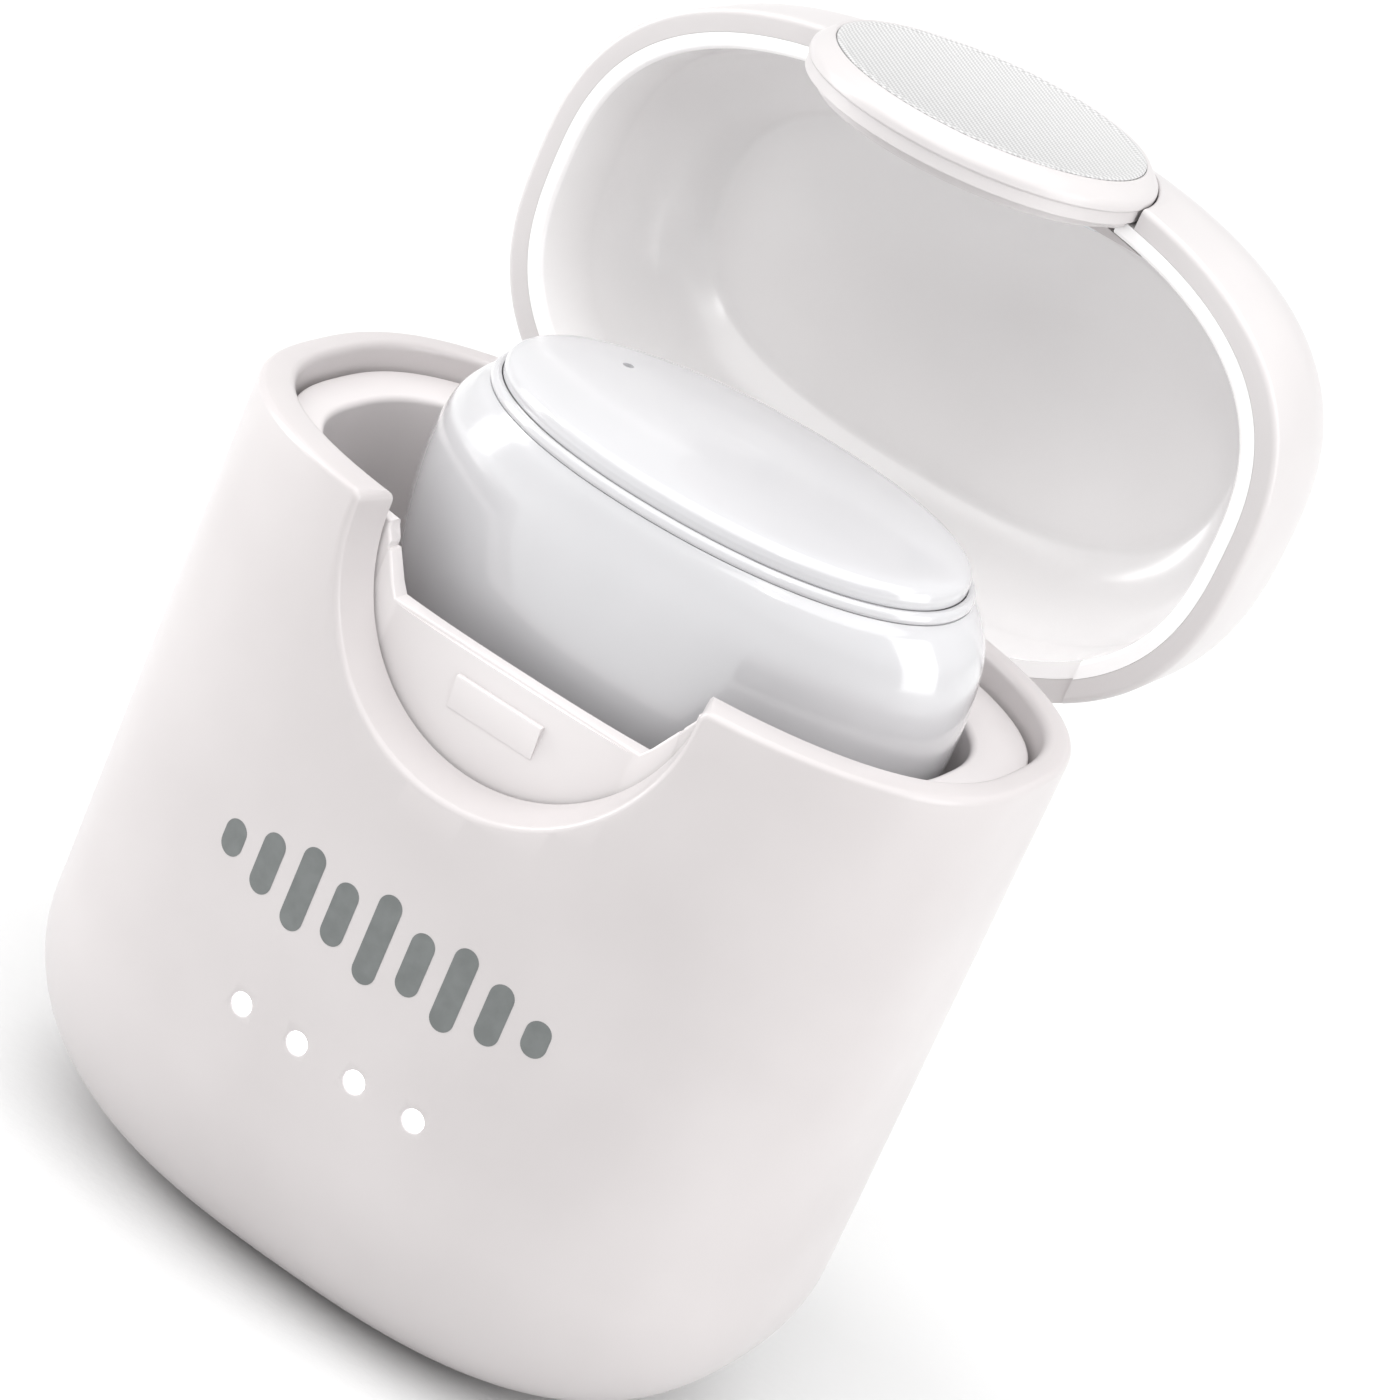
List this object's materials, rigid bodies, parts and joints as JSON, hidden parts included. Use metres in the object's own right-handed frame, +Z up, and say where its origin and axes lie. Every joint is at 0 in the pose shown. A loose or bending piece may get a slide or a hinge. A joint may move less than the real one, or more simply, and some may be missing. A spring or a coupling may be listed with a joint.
{
  "type": "earbud charging case",
  "caption": "Pocket charging case with a hinged lid standing open and an in-ear earbud resting in its well.",
  "frame": {"origin": "centre of the case's flat foot", "axes": "+Z up, +X to the right as seen from the front, -Y towards the front with the thumb notch and lights"},
  "size_m": [0.038, 0.0389, 0.0556],
  "materials": {
    "shell": "satin",
    "spun_disc": "finely spun satin",
    "bud": "gloss",
    "silicone": "soft matt",
    "steel": "brushed",
    "gold": "plated",
    "board": "varnished",
    "chip": "matt",
    "cell": "foil",
    "light": "clear"
  },
  "bodies": {
    "case": {"outer_shell": "shell", "inner_liner": "shell", "hinge_bracket": "shell", "hinge_pin": "steel", "bracket_screw_left": "steel", "bracket_screw_right": "steel", "case_battery": "cell", "battery_pad": "chip", "main_board": "board", "charge_chip": "chip", "power_inductor": "chip", "lead_connector": "light", "board_screw_1": "steel", "board_screw_2": "steel", "socket_shell": "steel", "socket_tongue": "chip", "light_board": "board", "charge_light_1": "light", "charge_light_2": "light", "charge_light_3": "light", "charge_light_4": "light", "light_pipe_1": "light", "light_pipe_2": "light", "light_pipe_3": "light", "light_pipe_4": "light", "probe_block": "chip", "probe_sleeve_left": "gold", "probe_sleeve_right": "gold", "well_magnet": "steel"},
    "probe_left": {"probe_pin_left": "gold"},
    "probe_right": {"probe_pin_right": "gold"},
    "lid": {"lid_cover": "shell", "lid_liner": "shell", "thumb_disc": "shell", "disc_plate": "spun_disc", "disc_retainer": "shell", "disc_screw_left": "steel", "disc_screw_right": "steel"},
    "earbud": {"bud_housing": "bud", "bud_bezel": "bud", "bud_nozzle": "bud", "nozzle_mesh": "steel", "ear_tip": "silicone", "bud_contact_left": "gold", "bud_contact_right": "gold", "bud_board": "board", "face_switch": "steel", "microphone": "steel", "bud_battery": "cell", "speaker": "steel", "bud_magnet": "steel"},
    "face_button": {"bud_face": "bud"}
  },
  "joints": [
    {"name": "lid_hinge", "type": "hinge", "parent": "case", "child": "lid", "pos_m": [0, 0.01038, 0.03255], "axis": [-1, 0, 0], "range_deg": [-91, 0]},
    {"name": "earbud_lift", "type": "slide", "parent": "case", "child": "earbud", "axis": [0, -0.1219, 0.9925], "range_m": [0, 0.024]},
    {"name": "face_press", "type": "slide", "parent": "earbud", "child": "face_button", "axis": [-0.0209, -0.0593, 0.998], "range_m": [-0.00025, 0], "stiffness_N_per_m": 400, "springref_m": 0.001},
    {"name": "probe_left_travel", "type": "slide", "parent": "case", "child": "probe_left", "axis": [0, 0, 1], "range_m": [-0.0008, 0], "stiffness_N_per_m": 150, "springref_m": 0.002},
    {"name": "probe_right_travel", "type": "slide", "parent": "case", "child": "probe_right", "axis": [0, 0, 1], "range_m": [-0.0008, 0], "stiffness_N_per_m": 150, "springref_m": 0.002}
  ]
}
